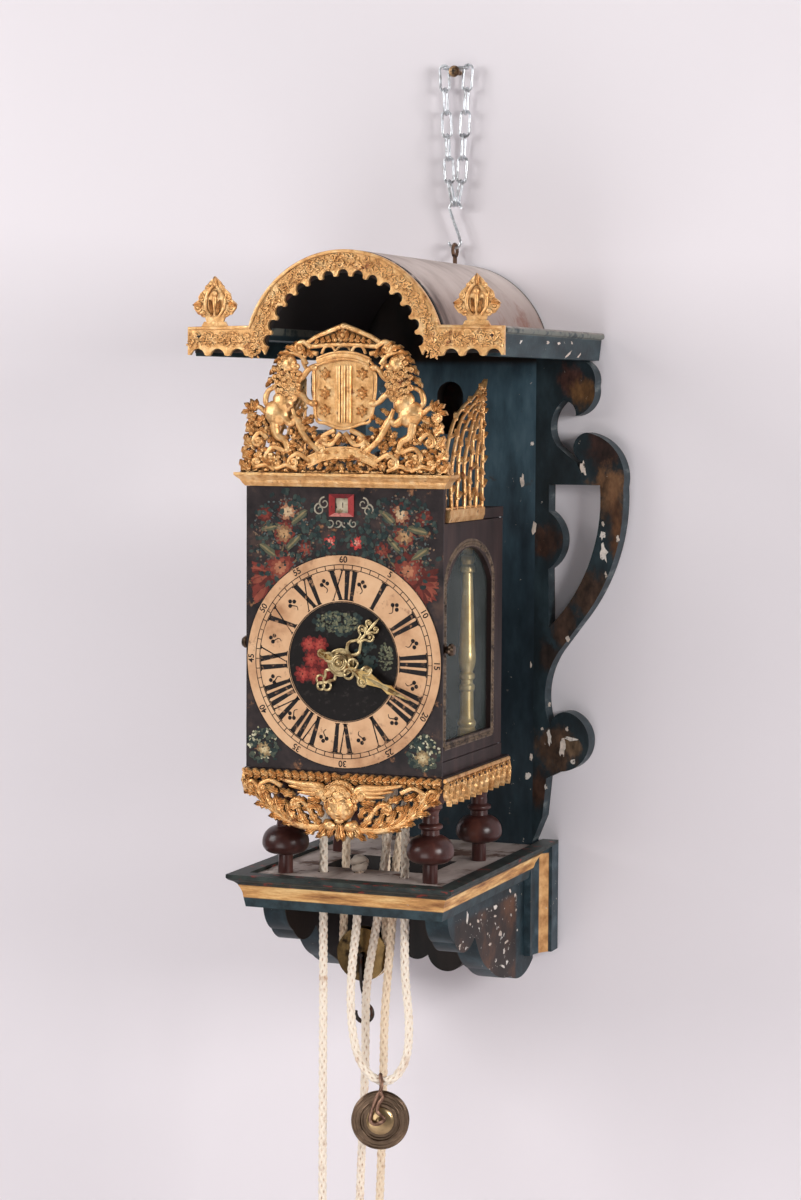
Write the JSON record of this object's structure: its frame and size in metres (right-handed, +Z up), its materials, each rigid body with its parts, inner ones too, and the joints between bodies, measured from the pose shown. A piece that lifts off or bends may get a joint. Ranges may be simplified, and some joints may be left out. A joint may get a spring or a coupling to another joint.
{
  "type": "bracket wall clock",
  "caption": "Weight-driven wall clock with painted dial, gilt cast ornament and turned feet, standing on a painted hooded bracket that hangs from a chain.",
  "frame": {"origin": "axis of the wall screw that carries the chain, at the wall's face", "axes": "+X to the viewer's right, +Y into the wall along the screw, +Z up"},
  "size_m": [0.3818, 0.357, 1.1737],
  "materials": {
    "teal_paint": "worn dark teal paint on wood",
    "dusty_sheet": "dusty grey painted sheet",
    "gilt": "worn gilding on cast lead",
    "black_paint": "black paint",
    "moulding_paint": "dark green paint with a gold band",
    "shelf_wood": "dusty brown wood",
    "dial_paint": "painted sheet iron",
    "case_wood": "dark stained wood",
    "foot_wood": "polished mahogany",
    "glass": "old clear glass",
    "brass": "aged brass",
    "bronze": "dark bronze",
    "iron": "dark wrought iron",
    "steel": "turned steel",
    "zinc": "zinc-plated steel",
    "rope": "braided cotton cord",
    "paper": "off-white enamel with numbers"
  },
  "bodies": {
    "bracket": {"backboard": "teal_paint", "wing_left": "teal_paint", "wing_right": "teal_paint", "console_shelf": "shelf_wood", "console_moulding": "moulding_paint", "console_returns": "moulding_paint", "console_cheeks": "teal_paint", "hood_eaves": "teal_paint", "hood_vault": "dusty_sheet", "hood_front_board": "black_paint", "hood_trim": "gilt", "hood_finials": "gilt", "hanging_eye": "iron", "s_hook": "zinc", "hanging_chain": "zinc", "wall_screw": "zinc", "rope_going": "rope", "rope_strike": "rope", "rope_alarm": "rope", "strike_pulley_strap": "iron", "going_pulley_strap": "iron", "dial_plate": "dial_paint", "case_base": "case_wood", "case_top": "case_wood", "case_back": "case_wood", "cornice": "gilt", "front_fret": "gilt", "side_frets": "gilt", "front_apron": "gilt", "side_aprons": "gilt", "feet": "foot_wood", "pillars": "brass", "train_bars": "iron", "door_hinge_pins": "steel", "bell": "brass", "bell_stand": "iron"},
    "door_left": {"door_left": "case_wood", "door_glass_left": "glass", "door_knob_left": "bronze"},
    "door_right": {"door_right": "case_wood", "door_glass_right": "glass", "door_knob_right": "bronze"},
    "going_great_wheel": {"going_great_wheel": "brass"},
    "contrate_wheel": {"contrate_wheel": "brass"},
    "crown_wheel": {"crown_wheel": "brass"},
    "verge_and_pendulum": {"verge": "steel", "pendulum": "brass"},
    "minute_wheel": {"minute_wheel": "brass"},
    "hour_hand": {"hour_wheel": "brass", "hour_hand": "brass"},
    "minute_hand": {"minute_hand": "brass"},
    "strike_great_wheel": {"strike_great_wheel": "brass"},
    "hoop_wheel": {"hoop_wheel": "brass"},
    "fly": {"fly": "brass"},
    "count_wheel": {"count_wheel": "brass"},
    "hammer": {"hammer": "iron"},
    "alarm_drum": {"alarm_drum": "brass"},
    "date_disc": {"date_disc": "paper"},
    "strike_pulley": {"strike_pulley_sheave": "brass"},
    "going_pulley": {"going_pulley_sheave": "bronze"}
  },
  "joints": [
    {"name": "going_great_wheel_turn", "type": "hinge", "parent": "bracket", "child": "going_great_wheel", "pos_m": [0, -0.257, -0.5915], "axis": [0, -1, 0], "continuous": true},
    {"name": "contrate_wheel_turn", "type": "hinge", "parent": "bracket", "child": "contrate_wheel", "pos_m": [0, -0.268, -0.54], "axis": [0, -1, 0], "continuous": true},
    {"name": "crown_wheel_turn", "type": "hinge", "parent": "bracket", "child": "crown_wheel", "pos_m": [0, -0.2623, -0.51], "axis": [0, 0, 1], "continuous": true},
    {"name": "minute_wheel_turn", "type": "hinge", "parent": "bracket", "child": "minute_wheel", "pos_m": [0.024, -0.302, -0.5915], "axis": [0, -1, 0], "continuous": true},
    {"name": "hour_hand_turn", "type": "hinge", "parent": "bracket", "child": "hour_hand", "pos_m": [0, -0.318, -0.5915], "axis": [0, -1, 0], "continuous": true},
    {"name": "minute_hand_turn", "type": "hinge", "parent": "bracket", "child": "minute_hand", "pos_m": [0, -0.323, -0.5915], "axis": [0, -1, 0], "continuous": true},
    {"name": "pendulum_swing", "type": "hinge", "parent": "bracket", "child": "verge_and_pendulum", "pos_m": [0, -0.115, -0.48], "axis": [0, 1, 0], "range_deg": [-10, 10]},
    {"name": "strike_great_wheel_turn", "type": "hinge", "parent": "bracket", "child": "strike_great_wheel", "pos_m": [0, -0.19, -0.5915], "axis": [0, -1, 0], "continuous": true},
    {"name": "hoop_wheel_turn", "type": "hinge", "parent": "bracket", "child": "hoop_wheel", "pos_m": [0, -0.178, -0.54], "axis": [0, -1, 0], "continuous": true},
    {"name": "fly_turn", "type": "hinge", "parent": "bracket", "child": "fly", "pos_m": [0, -0.19, -0.51525], "axis": [0, -1, 0], "continuous": true},
    {"name": "count_wheel_turn", "type": "hinge", "parent": "bracket", "child": "count_wheel", "pos_m": [0, -0.154, -0.6345], "axis": [0, -1, 0], "continuous": true},
    {"name": "hammer_swing", "type": "hinge", "parent": "bracket", "child": "hammer", "pos_m": [0.058, -0.19, -0.5], "axis": [0, 0, 1], "range_deg": [-3, 18]},
    {"name": "alarm_drum_turn", "type": "hinge", "parent": "bracket", "child": "alarm_drum", "pos_m": [0, -0.19, -0.66], "axis": [0, -1, 0], "continuous": true},
    {"name": "date_disc_turn", "type": "hinge", "parent": "bracket", "child": "date_disc", "pos_m": [-0.0023, -0.3095, -0.484], "axis": [0, -1, 0], "continuous": true},
    {"name": "door_right_swing", "type": "hinge", "parent": "bracket", "child": "door_right", "pos_m": [0.096, -0.1375, -0.57], "axis": [0, 0, 1], "range_deg": [0, 100]},
    {"name": "door_left_swing", "type": "hinge", "parent": "bracket", "child": "door_left", "pos_m": [-0.096, -0.1375, -0.57], "axis": [0, 0, -1], "range_deg": [0, 100]},
    {"name": "strike_pulley_turn", "type": "hinge", "parent": "bracket", "child": "strike_pulley", "pos_m": [-0.0265, -0.19, -0.899], "axis": [0, -1, 0], "continuous": true},
    {"name": "going_pulley_turn", "type": "hinge", "parent": "bracket", "child": "going_pulley", "pos_m": [0.0185, -0.257, -1.049], "axis": [0.309, -0.9511, 0], "continuous": true}
  ],
  "couplings": [
    {"joint": "going_great_wheel_turn", "follows": "contrate_wheel_turn", "ratio": -0.11111},
    {"joint": "crown_wheel_turn", "follows": "contrate_wheel_turn", "ratio": -9},
    {"joint": "minute_wheel_turn", "follows": "contrate_wheel_turn", "ratio": 0.037037},
    {"joint": "hour_hand_turn", "follows": "contrate_wheel_turn", "ratio": -0.0092593},
    {"joint": "minute_hand_turn", "follows": "contrate_wheel_turn", "ratio": -0.11111},
    {"joint": "strike_great_wheel_turn", "follows": "hoop_wheel_turn", "ratio": -0.125},
    {"joint": "fly_turn", "follows": "hoop_wheel_turn", "ratio": -8},
    {"joint": "count_wheel_turn", "follows": "hoop_wheel_turn", "ratio": 0.012821}
  ]
}
